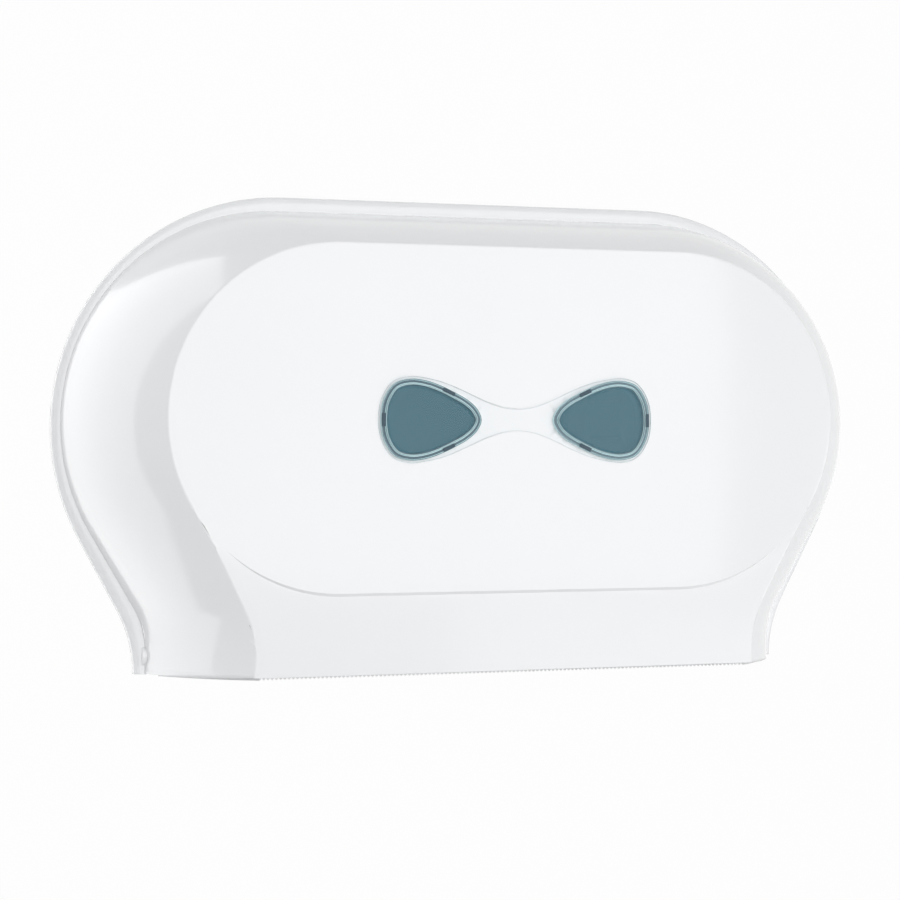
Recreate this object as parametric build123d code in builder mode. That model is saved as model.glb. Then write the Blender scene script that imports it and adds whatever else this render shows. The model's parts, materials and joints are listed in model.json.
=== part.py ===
"""Wall-hung dispenser for two toilet paper rolls, held side by side behind one lockable cover.

Millimetres. X runs to the right, Y towards the wall and Z up. The origin lies on the wall, on the
middle line of the housing, at the height where the outline's two end arcs are centred.
"""

from build123d import *
from dataclasses import dataclass, replace
from math import cos, radians, sin
import os

os.makedirs("parts", exist_ok=True)

# Depths, measured out from the wall
BRIM_BACK = 14.0
BRIM_FRONT = 20.0
FACE_DEPTH = 106.0
FACE_SWELL = 3.0
BRIM_ROUNDING = 2.5
WALL = 3.0

# Small allowances: solids reach a little way into each other, fits keep a gap, edges are broken
OVERLAP = 1.0
FIT_GAP = 0.25
PLAY = 0.1
EDGE_CHAMFER = 0.8


@dataclass
class Outline:
    """A stadium whose lower flanks run inwards and end in upright feet."""

    centre: float
    radius: float
    height: float
    sweep: float
    flank: float
    foot: float
    sill: float

    def inset(self, gap):
        return replace(self, radius=self.radius - gap, foot=self.foot + gap)

    def towards(self, other, share):
        """The outline that lies the given share of the way to another one."""
        pairs = zip(vars(self).values(), vars(other).values())
        return Outline(*(here + share * (there - here) for here, there in pairs))

    @property
    def foot_x(self):
        lean = radians(self.sweep)
        flank_top = self.centre + self.radius * cos(lean)
        return flank_top - self.flank * sin(lean) - self.foot * (1 - cos(lean))


# The three outlines that shape the cover: its brim, the root of its side wall and its front edge
RIM = Outline(centre=114.0, radius=136.0, height=0.0, sweep=28.0, flank=48.0, foot=76.0, sill=-142.4)
ROOT = Outline(centre=119.3, radius=125.5, height=2.0, sweep=30.0, flank=50.0, foot=48.5, sill=-142.0)
FRONT = Outline(centre=101.6, radius=97.5, height=4.9, sweep=30.0, flank=66.0, foot=64.0, sill=-138.0)

# The side wall bulges: it starts steep at the brim and turns in towards the front edge
WALL_STATIONS = 9
BULGE_START = 0.62

# The skirt below the raised face leans back towards its lower edge
SKIRT_TOP = -67.0
SKIRT_SETBACK = 5.5
CREASE_DEPTH = 7.0
CREASE_SPREAD = 5.5

# Window: two egg-shaped lenses joined by a bridge, on the middle height of the front face
LENS_HEIGHT = 4.0
LENS_OUTER = 81.8
LENS_INNER = 20.3
LENS_CROWN = (63.5, 24.1)
LENS_SHOULDER = (79.0, 12.5)
LENS_NECK = (32.8, 16.4)
BRIDGE_HALF = 6.2
LENS_STEPS = 6
LENS_THICKNESS = 2.0
LENS_SEAT = 0.8
APERTURE_INSET = 5.0
COLLAR_THICKNESS = 1.4
COLLAR_LENGTH = 6.5
HOOK_X = 40.5
HOOK_LENGTH = 7.0
HOOK_BACK = 98.0
HOOK_REACH = 1.0

# Wall tray
TRAY_INSET = 5.5
TRAY_SILL = -123.0
TRAY_FLOOR = 3.0
TRAY_WALL = 2.5
TRAY_DEPTH = 15.0
APRON_SILL = -138.0
WALL_HOLE_X = 165.0
WALL_HOLE_Z = 60.0
WALL_SLOT_LENGTH = 12.0
WALL_SLOT_WIDTH = 6.0
SLOT_BOSS_RIM = 5.0
RIB_HEIGHT = 3.0
RIB_THICKNESS = 1.8
RAY_RIBS = 8
RAY_REACH = 58.0
LUG_TURN = 32.0
LUG_WIDTH = 10.0
LUG_HEIGHT = 8.5
LUG_BACK = 9.0
LUG_FRONT = 14.5
PAD_RADIUS = 2.3
PAD_REACH = 125.2
PILOT_FLOOR = 1.0

# Roll spindles
HUB_X = 101.6
HUB_Z = 4.9
POST_RADIUS = 8.0
POST_PAD = 3.0
POST_FOOT = 4.0
POST_FOOT_RADIUS = 20.0
POST_END = 74.0
POST_SCREWS = 3
POST_SCREWS_AT = 14.5
SEAT_MARGIN = 3.0
HUB_CLEARANCE = 0.3
HUB_BACK = 12.0
HUB_FLANGE_RADIUS = 40.0
HUB_FLANGE = 3.0
HUB_RADIUS = 27.0
HUB_NOSE_RADIUS = 25.5
HUB_NOSE = 78.0
HUB_SHELL = 2.0
HUB_SLEEVE = 2.7
HUB_RIBS = 6
HUB_RIB_THICKNESS = 1.6
HUB_RIB_REACH = 25.3
HUB_RIB_SETBACK = 2.0
CAP_RADIUS = 28.0
CAP_DEPTH = 4.0
PLUG_RADIUS = 23.2
PLUG_LENGTH = 3.0
PILOT_DEPTH = 14.0
BRAKE_INNER = 29.0
BRAKE_OUTER = 37.0
BRAKE_SEAT = 9.5
BRAKE_THICKNESS = 2.4
BRAKE_MARGIN = 1.0
WASHER_RADIUS = 10.5
WASHER_THICKNESS = 1.5

# Screws, all of one gauge
SCREW_RADIUS = 1.5
HEAD_RADIUS = 3.0
HEAD_HEIGHT = 1.8
RECESS_LENGTH = 3.0
RECESS_WIDTH = 0.8
RECESS_DEPTH = 1.2
PILOT_RADIUS = 1.6
SCREW_TAPER = 0.6

# Cover hinge, low at the back
HINGE_Y = 17.0
HINGE_Z = -132.0
PIN_RADIUS = 2.5
PIN_RUNNING_GAP = 0.1
PIN_PRESS_GAP = 0.03
KNUCKLE_RADIUS = 6.0
KNUCKLE_INNER = 184.0
KNUCKLE_OUTER = 198.0
WEB_TOP = -106.0
WEB_FOOT_IN = 1.7
WEB_HEAD_OUT = 3.5
PIN_CHAMFER = 0.5
EAR_INNER = 170.0
EAR_OUTER = 181.0

# Catch at the top, worked by a key from above
SLIDER_WIDTH = 14.0
SLIDER_BACK = 3.3
SLIDER_FRONT = 9.0
SLIDER_BOTTOM = 84.0
SLIDER_TOP = 117.5
HOOK_TIP_BACK = 20.5
HOOK_TIP_FRONT = 23.0
HOOK_ARM_LOW = 108.5
HOOK_ARM_HIGH = 112.0
HOOK_SLOPE = 2.0
STRIKE_WIDTH = 20.0
STRIKE_THICKNESS = 1.5
STRIKE_BLOCK_BACK = 28.0
STRIKE_BLOCK_DEPTH = 8.0
STRIKE_BLOCK_LOW = 110.0
STRIKE_BLOCK_WIDTH = 24.0
STRIKE_BLOCK_HEIGHT = 14.0
STRIKE_SCREW_Z = 114.8
STRIKE_SCREW_SPACING = 12.0
STRIKE_ARM_Z = 119.5
STRIKE_LIP = 18.5
STRIKE_LIP_LOW = 116.3
GUIDE_GAP = 0.3
GUIDE_WALL = 2.0
GUIDE_BOTTOM = 66.0
GUIDE_TOP = 103.0
LATCH_SCREW_Z = 90.0
LATCH_SCREW_SPACING = 32.0
LATCH_FLANGE_WIDTH = 41.0
LATCH_FLANGE_HEIGHT = 10.0
KEY_SLOT_LENGTH = 8.0
KEY_SLOT_WIDTH = 3.4
SPRING_RADIUS = 2.2
SPRING_WIRE = 0.8
SPRING_TURNS = 5

# Tear strip along the cover's lower edge
STRIP_THICKNESS = 2.0
STRIP_TOP = -126.0
STRIP_GAP = 0.4
STRIP_END = 26.0
STRIP_LOW_BACK = -143.0
STRIP_LOW_FRONT = -140.0
TOOTH_PITCH = 2.4
TOOTH_HEIGHT = 1.6
SIDE_TEETH = 20
SIDE_PITCH = 2.1
STRIP_SCREW_X = (-120.0, -40.0, 40.0, 120.0)
STRIP_SCREW_Z = -131.0
STRIP_SCREW_LENGTH = 4.5
BOSS_RADIUS = 3.0


def out(depth):
    """Plane at a depth in front of the wall, looking outwards."""
    return Plane.XZ.offset(depth)


def housing_face(shape):
    """Draw an outline as a face, its right half mirrored to the left."""
    with BuildSketch() as face:
        with BuildLine():
            top = Line((0, shape.height + shape.radius), (shape.centre, shape.height + shape.radius))
            shoulder = JernArc(top @ 1, top % 1, shape.radius, -(90 + shape.sweep))
            flank = PolarLine(shoulder @ 1, shape.flank, direction=shoulder % 1)
            foot = JernArc(flank @ 1, flank % 1, shape.foot, shape.sweep)
            side = Line(foot @ 1, ((foot @ 1).X, shape.sill))
            Line(side @ 1, (0, shape.sill))
            mirror(about=Plane.YZ)
        make_face()
    return face.sketch


def wall_outline(share):
    """Outline of the side wall at a share of its depth, along the bulge."""
    bulge = BULGE_START * share + (1 - BULGE_START) * share**3
    return ROOT.towards(FRONT, bulge)


def wall_depth(share):
    return BRIM_FRONT + share * (FACE_DEPTH - BRIM_FRONT)


def stadium_face(radius):
    """The raised front face: a stadium about the middle line."""
    with BuildSketch() as face:
        with Locations((0, FRONT.height)):
            SlotCenterToCenter(2 * FRONT.centre, 2 * radius)
    return face.sketch


def beside(curve, gap, steps):
    """Evenly spaced points along a curve, moved to its right by a gap."""
    shares = [step / steps for step in range(steps + 1)]
    places = [(curve @ share, curve % share) for share in shares]
    return [(point.X + gap * way.Y, point.Y - gap * way.X) for point, way in places]


def lens_egg(inset):
    """Right-hand egg shape of the window, drawn inwards by an inset, about the lens's middle line."""
    with BuildLine(mode=Mode.PRIVATE):
        rim = Spline(
            (LENS_INNER, 0), LENS_NECK, LENS_CROWN, LENS_SHOULDER, (LENS_OUTER, 0), tangents=((0, 1), (0, -1))
        )
    with BuildSketch() as egg:
        with BuildLine():
            Spline(*beside(rim, inset, LENS_STEPS), tangents=((0, 1), (0, -1)))
            mirror(about=Plane.XZ)
        make_face()
    return egg.sketch


def window_outline(growth):
    """Both lenses and the bridge between them as one outline, grown outwards."""
    with BuildLine(mode=Mode.PRIVATE):
        rim = Spline(
            (0, BRIDGE_HALF), LENS_NECK, LENS_CROWN, LENS_SHOULDER, (LENS_OUTER, 0), tangents=((1, 0), (0, -1))
        )
    with BuildSketch() as outline:
        with BuildLine():
            Spline(*beside(rim, -growth, 2 * LENS_STEPS), tangents=((1, 0), (0, -1)))
            mirror(about=Plane.XZ)
            mirror(about=Plane.YZ)
        make_face()
    return outline.sketch


def lens_band(outer, inner):
    """Band round both lenses, between two insets."""
    with BuildSketch() as band:
        add(lens_egg(outer))
        add(lens_egg(inner), mode=Mode.SUBTRACT)
        mirror(about=Plane.YZ)
    return band.sketch


def round_spindles(radius, count, start):
    """Points spaced evenly on a circle round each of the two spindles."""
    turns = [radians(start + 360 * step / count) for step in range(count)]
    return [
        (side * HUB_X + radius * cos(turn), HUB_Z + radius * sin(turn)) for side in (-1, 1) for turn in turns
    ]


# Cushion swell of the front face: straight along the middle, turned at both ends
with BuildPart() as face_swell:
    half = FRONT.radius
    crown = (-FACE_DEPTH - FACE_SWELL, FRONT.height)
    upper = (-FACE_DEPTH, FRONT.height + half)
    lower = (-FACE_DEPTH, FRONT.height - half)
    with BuildSketch(Plane.YZ.offset(-FRONT.centre)):
        with BuildLine():
            ThreePointArc(lower, crown, upper)
            Line(upper, lower)
        make_face()
    extrude(amount=2 * FRONT.centre)
    for side in (-1, 1):
        with BuildSketch(Plane.YZ.offset(side * FRONT.centre)):
            with BuildLine():
                ThreePointArc(lower, crown, upper)
                Line(upper, lower)
            make_face()
            split(bisect_by=Plane.XZ.offset(-FRONT.height))
        revolve(axis=Axis((side * FRONT.centre, 0, FRONT.height), (0, 1, 0)))

# Room in front of the leaning skirt, which stops at the bevelled edge of the raised face
with BuildPart() as skirt_room:
    reach = 20.0
    lowest = -170.0
    lean = SKIRT_SETBACK / (SKIRT_TOP - FRONT.sill)
    with BuildSketch(Plane.YZ.offset(-RIM.centre - RIM.radius)):
        with BuildLine():
            Polyline(
                (-FACE_DEPTH, SKIRT_TOP),
                (-FACE_DEPTH - reach, SKIRT_TOP),
                (-FACE_DEPTH - reach, lowest),
                (-FACE_DEPTH + lean * (SKIRT_TOP - lowest), lowest),
                close=True,
            )
        make_face()
    extrude(amount=2 * (RIM.centre + RIM.radius))
    with BuildSketch(out(FACE_DEPTH)):
        add(stadium_face(FRONT.radius))
    extrude(amount=reach, mode=Mode.SUBTRACT)
    with BuildSketch(out(FACE_DEPTH)):
        add(stadium_face(FRONT.radius))
    with BuildSketch(out(FACE_DEPTH - CREASE_DEPTH)):
        add(stadium_face(FRONT.radius + CREASE_SPREAD))
    loft(ruled=True, mode=Mode.SUBTRACT)

# The hollow of the cover, one wall thickness inside its outer skin
with BuildPart() as hollow:
    below = -175.0
    with BuildSketch(out(BRIM_BACK - OVERLAP)):
        add(housing_face(replace(RIM.inset(WALL), sill=below)))
    extrude(amount=OVERLAP + BRIM_FRONT - BRIM_BACK - WALL)
    for station in range(WALL_STATIONS):
        share = station / (WALL_STATIONS - 1)
        with BuildSketch(out(wall_depth(share) - WALL)):
            add(housing_face(replace(wall_outline(share).inset(WALL), sill=below)))
    loft(ruled=True)
    with Locations((0, WALL, 0)):
        add(face_swell.part)
        add(skirt_room.part, mode=Mode.SUBTRACT)


def window_plane(depth):
    """Plane at a depth in front of the wall, centred on the window."""
    return Plane(origin=(0, -depth, LENS_HEIGHT), x_dir=(1, 0, 0), z_dir=(0, -1, 0))


SEAT_DEPTH = FACE_DEPTH + FACE_SWELL - LENS_SEAT
SKIRT_INSIDE = FACE_DEPTH - WALL - SKIRT_SETBACK
STRIP_FRONT = SKIRT_INSIDE - 2 * PLAY
STRIP_BACK = STRIP_FRONT - STRIP_THICKNESS
BOSS_END = STRIP_BACK - 2 * PLAY

# Cover
with BuildPart() as cover_shell:
    with BuildSketch(out(BRIM_BACK)):
        add(housing_face(RIM))
    extrude(amount=BRIM_FRONT - BRIM_BACK)
    brim_edges = cover_shell.faces().sort_by(Axis.Y)[0].edges()
    fillet(brim_edges.filter_by(lambda edge: edge.center().Z > RIM.sill + OVERLAP), BRIM_ROUNDING)
    for station in range(WALL_STATIONS):
        share = station / (WALL_STATIONS - 1)
        with BuildSketch(out(wall_depth(share))):
            add(housing_face(wall_outline(share)))
    loft(ruled=True)
    add(face_swell.part)
    add(skirt_room.part, mode=Mode.SUBTRACT)
    add(hollow.part, mode=Mode.SUBTRACT)

    # Window seat and the two egg-shaped openings
    with BuildSketch(window_plane(SEAT_DEPTH)):
        add(window_outline(FIT_GAP))
    extrude(amount=2 * LENS_SEAT, mode=Mode.SUBTRACT)
    with BuildSketch(window_plane(SEAT_DEPTH)):
        add(lens_egg(APERTURE_INSET))
        mirror(about=Plane.YZ)
    extrude(amount=2 * WALL, both=True, mode=Mode.SUBTRACT)

    # Block that carries the strike
    with BuildSketch(out(STRIKE_BLOCK_BACK)):
        with Locations((0, STRIKE_BLOCK_LOW)):
            Rectangle(STRIKE_BLOCK_WIDTH, STRIKE_BLOCK_HEIGHT, align=(Align.CENTER, Align.MIN))
    extrude(amount=STRIKE_BLOCK_DEPTH)
    with BuildSketch(out(STRIKE_BLOCK_BACK)):
        with Locations((0, STRIKE_SCREW_Z)):
            with GridLocations(STRIKE_SCREW_SPACING, 0, 2, 1):
                Circle(PILOT_RADIUS)
    extrude(amount=STRIKE_BLOCK_DEPTH - 2 * PILOT_FLOOR, mode=Mode.SUBTRACT)

    # Bosses that the tear strip is screwed to
    with BuildSketch(out(BOSS_END)):
        with Locations([(x, STRIP_SCREW_Z) for x in STRIP_SCREW_X]):
            Circle(BOSS_RADIUS)
    extrude(amount=SKIRT_INSIDE - BOSS_END + OVERLAP)
    with BuildSketch(out(BOSS_END)):
        with Locations([(x, STRIP_SCREW_Z) for x in STRIP_SCREW_X]):
            Circle(PILOT_RADIUS)
    extrude(amount=STRIP_SCREW_LENGTH + FIT_GAP, mode=Mode.SUBTRACT)

    # Hinge knuckles, each tied to the side wall by a web
    for side in (-1, 1):
        with BuildSketch(Plane.YZ.offset(side * KNUCKLE_INNER)):
            with Locations((-HINGE_Y, HINGE_Z)):
                Circle(KNUCKLE_RADIUS)
        extrude(amount=side * (KNUCKLE_OUTER - KNUCKLE_INNER))
        with BuildSketch(out(BRIM_FRONT - WALL / 3)):
            with BuildLine():
                Polyline(
                    (side * (KNUCKLE_INNER + OVERLAP), HINGE_Z + OVERLAP),
                    (side * (ROOT.foot_x - WEB_FOOT_IN), HINGE_Z + OVERLAP),
                    (side * (ROOT.foot_x + WEB_HEAD_OUT), WEB_TOP),
                    close=True,
                )
            make_face()
        extrude(amount=WALL)
        with BuildSketch(Plane.YZ.offset(side * KNUCKLE_INNER)):
            with Locations((-HINGE_Y, HINGE_Z)):
                Circle(PIN_RADIUS + PIN_RUNNING_GAP)
        extrude(amount=side * (KNUCKLE_OUTER - KNUCKLE_INNER), mode=Mode.SUBTRACT)

# Clear window, with collars that pass through the cover and catch behind it
with BuildPart() as window_lens:
    with BuildSketch(window_plane(SEAT_DEPTH)):
        add(window_outline(0))
    extrude(amount=LENS_THICKNESS)
    rim_edges = window_lens.faces().sort_by(Axis.Y)[0].edges()
    fillet(rim_edges, LENS_THICKNESS / 3)
    collar = APERTURE_INSET + FIT_GAP
    with BuildSketch(window_plane(SEAT_DEPTH - COLLAR_LENGTH)):
        add(lens_band(collar, collar + COLLAR_THICKNESS))
    extrude(amount=COLLAR_LENGTH)
    with BuildSketch(window_plane(HOOK_BACK)):
        with GridLocations(2 * HOOK_X, 0, 2, 1):
            Rectangle(HOOK_LENGTH, 3 * LENS_CROWN[1])
        with GridLocations(2 * (LENS_OUTER - APERTURE_INSET), 0, 2, 1):
            Rectangle(HOOK_LENGTH, HOOK_LENGTH)
        add(lens_band(APERTURE_INSET - HOOK_REACH, collar + COLLAR_THICKNESS / 2), mode=Mode.INTERSECT)
    extrude(amount=FACE_DEPTH - FIT_GAP - HOOK_BACK)

# Wall tray
TRAY = ROOT.inset(TRAY_INSET)
SPINDLES = [(side * HUB_X, HUB_Z) for side in (-1, 1)]
FOOT_FRONT = TRAY_FLOOR + POST_PAD + POST_FOOT
POST_SCREW_PLACES = round_spindles(POST_SCREWS_AT, POST_SCREWS, 90)


def tray_face(inset):
    """The tray's outline: cut off level above the hinge, with a narrower apron between the knuckles."""
    with BuildSketch() as face:
        add(housing_face(TRAY.inset(inset)))
        with Locations((0, TRAY_SILL + inset)):
            Rectangle(4 * RIM.radius, 4 * RIM.radius, align=(Align.CENTER, Align.MIN), mode=Mode.INTERSECT)
        with Locations((0, APRON_SILL + inset)):
            Rectangle(2 * (EAR_OUTER - inset), TRAY_DEPTH + TRAY_WALL, align=(Align.CENTER, Align.MIN))
    return face.sketch


with BuildPart() as base_pan:
    with BuildSketch(out(0)):
        add(tray_face(0))
    extrude(amount=TRAY_DEPTH)
    with BuildSketch(out(TRAY_FLOOR)):
        add(tray_face(TRAY_WALL))
    extrude(amount=TRAY_DEPTH, mode=Mode.SUBTRACT)

    # Round the spindles: a pad for the post, a raised seat for the brake ring, and radial ribs
    with BuildSketch(out(TRAY_FLOOR)):
        with Locations(SPINDLES):
            Circle(POST_FOOT_RADIUS + SEAT_MARGIN)
    extrude(amount=POST_PAD)
    with BuildSketch(out(TRAY_FLOOR)):
        with Locations(SPINDLES):
            Circle(BRAKE_OUTER + BRAKE_MARGIN)
            Circle(BRAKE_INNER - BRAKE_MARGIN, mode=Mode.SUBTRACT)
    extrude(amount=BRAKE_SEAT - TRAY_FLOOR)
    with BuildSketch(out(TRAY_FLOOR)):
        for x, z in SPINDLES:
            with Locations((x, z)):
                with PolarLocations(0, RAY_RIBS, start_angle=180 / RAY_RIBS):
                    Rectangle(RAY_REACH, RIB_THICKNESS, align=(Align.MIN, Align.CENTER))
        with Locations(SPINDLES):
            Circle(BRAKE_OUTER, mode=Mode.SUBTRACT)
    extrude(amount=RIB_HEIGHT)

    # Wall screw slots, each in a boss
    with BuildSketch(out(TRAY_FLOOR)):
        with GridLocations(2 * WALL_HOLE_X, 2 * WALL_HOLE_Z, 2, 2):
            SlotOverall(WALL_SLOT_LENGTH + 2 * SLOT_BOSS_RIM, WALL_SLOT_WIDTH + 2 * SLOT_BOSS_RIM)
    extrude(amount=RIB_HEIGHT)
    with BuildSketch(out(0)):
        with GridLocations(2 * WALL_HOLE_X, 2 * WALL_HOLE_Z, 2, 2):
            SlotOverall(WALL_SLOT_LENGTH, WALL_SLOT_WIDTH)
    extrude(amount=TRAY_FLOOR + RIB_HEIGHT, mode=Mode.SUBTRACT)

    # Lugs on both shoulders for the cover's soft pads
    for side in (-1, 1):
        with BuildSketch(out(LUG_BACK)):
            with Locations((side * TRAY.centre, TRAY.height)):
                with PolarLocations(TRAY.radius - OVERLAP, 1, start_angle=90 - side * LUG_TURN):
                    Rectangle(LUG_HEIGHT, LUG_WIDTH, align=(Align.MIN, Align.CENTER))
        extrude(amount=LUG_FRONT - LUG_BACK)

    # Hinge ears at the ends of the apron
    for side in (-1, 1):
        with BuildSketch(Plane.YZ.offset(side * EAR_INNER)):
            with Locations((-HINGE_Y, HINGE_Z)):
                Circle(KNUCKLE_RADIUS)
            with Locations((-TRAY_DEPTH / 2, APRON_SILL + TRAY_WALL)):
                Rectangle(TRAY_DEPTH, 2 * TRAY_WALL)
            make_hull()
        extrude(amount=side * (EAR_OUTER - EAR_INNER))
        with BuildSketch(Plane.YZ.offset(side * EAR_INNER)):
            with Locations((-HINGE_Y, HINGE_Z)):
                Circle(PIN_RADIUS + PIN_PRESS_GAP)
        extrude(amount=side * (EAR_OUTER - EAR_INNER), mode=Mode.SUBTRACT)

    # Pilot holes for the posts and the catch, and the key slot in the upper wall
    with BuildSketch(out(PILOT_FLOOR)):
        with Locations(POST_SCREW_PLACES):
            Circle(PILOT_RADIUS)
        with Locations((0, LATCH_SCREW_Z)):
            with GridLocations(LATCH_SCREW_SPACING, 0, 2, 1):
                Circle(PILOT_RADIUS)
    extrude(amount=TRAY_FLOOR + POST_PAD, mode=Mode.SUBTRACT)
    with BuildSketch(Plane.XY.offset(TRAY.height + TRAY.radius - 2 * TRAY_WALL)):
        with Locations((0, -(TRAY_FLOOR + SLIDER_FRONT) / 2)):
            SlotOverall(KEY_SLOT_LENGTH, KEY_SLOT_WIDTH)
    extrude(amount=4 * TRAY_WALL, mode=Mode.SUBTRACT)


def spindle_post(x, z):
    """Fixed post on a round foot, with holes for its screws and a pilot hole in its end."""
    with BuildPart() as post:
        with BuildSketch(out(TRAY_FLOOR + POST_PAD)):
            with Locations((x, z)):
                Circle(POST_FOOT_RADIUS)
        extrude(amount=POST_FOOT)
        with BuildSketch(out(FOOT_FRONT)):
            with Locations((x, z)):
                Circle(POST_RADIUS)
        extrude(amount=POST_END - FOOT_FRONT)
        end_edges = post.faces().sort_by(Axis.Y)[0].edges()
        chamfer(end_edges, EDGE_CHAMFER)
        with BuildSketch(out(TRAY_FLOOR + POST_PAD)):
            with Locations((x, z)):
                with PolarLocations(POST_SCREWS_AT, POST_SCREWS, start_angle=90):
                    Circle(SCREW_RADIUS + FIT_GAP)
        extrude(amount=POST_FOOT, mode=Mode.SUBTRACT)
        with BuildSketch(out(POST_END)):
            with Locations((x, z)):
                Circle(PILOT_RADIUS)
        extrude(amount=-PILOT_DEPTH, mode=Mode.SUBTRACT)
    return post.part


def hub(x, z):
    """Turning roll core: tapered barrel, back flange and ribbed bearing sleeve."""
    with BuildPart() as core:
        with BuildSketch(Plane.YZ.offset(x)):
            with Locations((0, z)):
                with BuildLine():
                    Polyline(
                        (-HUB_BACK, HUB_FLANGE_RADIUS),
                        (-HUB_BACK - HUB_FLANGE, HUB_FLANGE_RADIUS),
                        (-HUB_BACK - HUB_FLANGE, HUB_RADIUS),
                        (-HUB_NOSE, HUB_NOSE_RADIUS),
                        (-HUB_NOSE, HUB_NOSE_RADIUS - HUB_SHELL),
                        (-HUB_BACK, HUB_RADIUS - HUB_SHELL),
                        close=True,
                    )
                make_face()
        revolve(axis=Axis((x, 0, z), (0, 1, 0)))
        with BuildSketch(out(HUB_BACK + HUB_RIB_SETBACK)):
            with Locations((x, z)):
                Circle(POST_RADIUS + HUB_CLEARANCE + HUB_SLEEVE)
                with PolarLocations(0, HUB_RIBS, start_angle=30):
                    Rectangle(HUB_RIB_REACH, HUB_RIB_THICKNESS, align=(Align.MIN, Align.CENTER))
                Circle(POST_RADIUS + HUB_CLEARANCE, mode=Mode.SUBTRACT)
        extrude(amount=POST_END - HUB_BACK - HUB_RIB_SETBACK - HUB_CLEARANCE)
    return core.part


def hub_cap(x, z):
    """Nose disc with a plug ring that clips into the barrel."""
    with BuildPart() as cap:
        with BuildSketch(out(HUB_NOSE)):
            with Locations((x, z)):
                Circle(CAP_RADIUS)
        extrude(amount=CAP_DEPTH)
        nose_edges = cap.faces().sort_by(Axis.Y)[0].edges()
        fillet(nose_edges, CAP_DEPTH / 2)
        with BuildSketch(out(HUB_NOSE - PLUG_LENGTH)):
            with Locations((x, z)):
                Circle(PLUG_RADIUS)
                Circle(PLUG_RADIUS - HUB_SHELL, mode=Mode.SUBTRACT)
        extrude(amount=PLUG_LENGTH)
    return cap.part


def ring(x, z, depth, thickness, outer, inner):
    """Flat ring about a spindle."""
    with BuildPart() as disc:
        with BuildSketch(out(depth)):
            with Locations((x, z)):
                Circle(outer)
                Circle(inner, mode=Mode.SUBTRACT)
        extrude(amount=thickness)
    return disc.part


def screw(length):
    """Pan-head screw along Z: its head stands on the origin plane and its shank reaches down."""
    with BuildPart() as fastener:
        with BuildSketch(Plane.XZ):
            with BuildLine():
                Polyline(
                    (0, -length),
                    (SCREW_RADIUS - SCREW_TAPER, -length),
                    (SCREW_RADIUS, SCREW_TAPER - length),
                    (SCREW_RADIUS, 0),
                    (HEAD_RADIUS, 0),
                    (HEAD_RADIUS, HEAD_HEIGHT),
                    (0, HEAD_HEIGHT),
                    close=True,
                )
            make_face()
        revolve(axis=Axis.Z)
        fillet(fastener.edges().group_by(Axis.Z)[-1], HEAD_HEIGHT / 2)
        with BuildSketch(Plane.XY.offset(HEAD_HEIGHT)):
            with PolarLocations(0, 2, angular_range=90, endpoint=True):
                Rectangle(RECESS_LENGTH, RECESS_WIDTH)
        extrude(amount=-RECESS_DEPTH, mode=Mode.SUBTRACT)
    return fastener.part


def facing_out(x, depth, z):
    """Place for a piece made along Z, turned so that its top faces the room."""
    return Location((x, -depth, z), (90, 0, 0))


def facing_wall(x, depth, z):
    """Place for a piece made along Z, turned so that its top faces the wall."""
    return Location((x, -depth, z), (-90, 0, 0))


def hinge_pin(side):
    """Pin pressed into an ear, on which the cover's knuckle turns."""
    with BuildPart() as pin:
        with BuildSketch(Plane.YZ.offset(side * (EAR_INNER - OVERLAP))):
            with Locations((-HINGE_Y, HINGE_Z)):
                Circle(PIN_RADIUS)
        extrude(amount=side * (KNUCKLE_OUTER - EAR_INNER))
        chamfer(pin.edges().filter_by(GeomType.CIRCLE), PIN_CHAMFER)
    return pin.part


# Catch: slider with a hooked arm, guide box, spring and strike
with BuildPart() as latch_slider:
    with BuildSketch(Plane.YZ.offset(-SLIDER_WIDTH / 2)):
        with BuildLine():
            Polyline(
                (-SLIDER_BACK, SLIDER_BOTTOM),
                (-SLIDER_BACK, HOOK_ARM_HIGH),
                (-HOOK_TIP_BACK, HOOK_ARM_HIGH),
                (-HOOK_TIP_BACK, SLIDER_TOP),
                (-HOOK_TIP_FRONT, SLIDER_TOP - HOOK_SLOPE),
                (-HOOK_TIP_FRONT, HOOK_ARM_LOW),
                (-SLIDER_FRONT, HOOK_ARM_LOW),
                (-SLIDER_FRONT, SLIDER_BOTTOM),
                close=True,
            )
        make_face()
    extrude(amount=SLIDER_WIDTH)
    side_edges = latch_slider.edges().filter_by(Axis.Z).group_by(Axis.Y)[-1]
    chamfer(side_edges, EDGE_CHAMFER)

with BuildPart() as latch_housing:
    outer_half = SLIDER_WIDTH / 2 + GUIDE_GAP + GUIDE_WALL
    box_height = GUIDE_TOP - GUIDE_BOTTOM
    with BuildSketch(out(TRAY_FLOOR)):
        with Locations((0, GUIDE_BOTTOM)):
            Rectangle(2 * outer_half, box_height, align=(Align.CENTER, Align.MIN))
    extrude(amount=SLIDER_FRONT + GUIDE_GAP + GUIDE_WALL - TRAY_FLOOR)
    with BuildSketch(out(TRAY_FLOOR)):
        with Locations((0, LATCH_SCREW_Z)):
            Rectangle(LATCH_FLANGE_WIDTH, LATCH_FLANGE_HEIGHT)
    extrude(amount=GUIDE_WALL)
    with BuildSketch(out(TRAY_FLOOR)):
        with Locations((0, GUIDE_BOTTOM + GUIDE_WALL)):
            Rectangle(SLIDER_WIDTH + 2 * GUIDE_GAP, box_height, align=(Align.CENTER, Align.MIN))
    extrude(amount=SLIDER_FRONT + GUIDE_GAP - TRAY_FLOOR, mode=Mode.SUBTRACT)
    with BuildSketch(out(TRAY_FLOOR)):
        with Locations((0, LATCH_SCREW_Z)):
            with GridLocations(LATCH_SCREW_SPACING, 0, 2, 1):
                Circle(PILOT_RADIUS)
    extrude(amount=GUIDE_WALL, mode=Mode.SUBTRACT)

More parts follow.
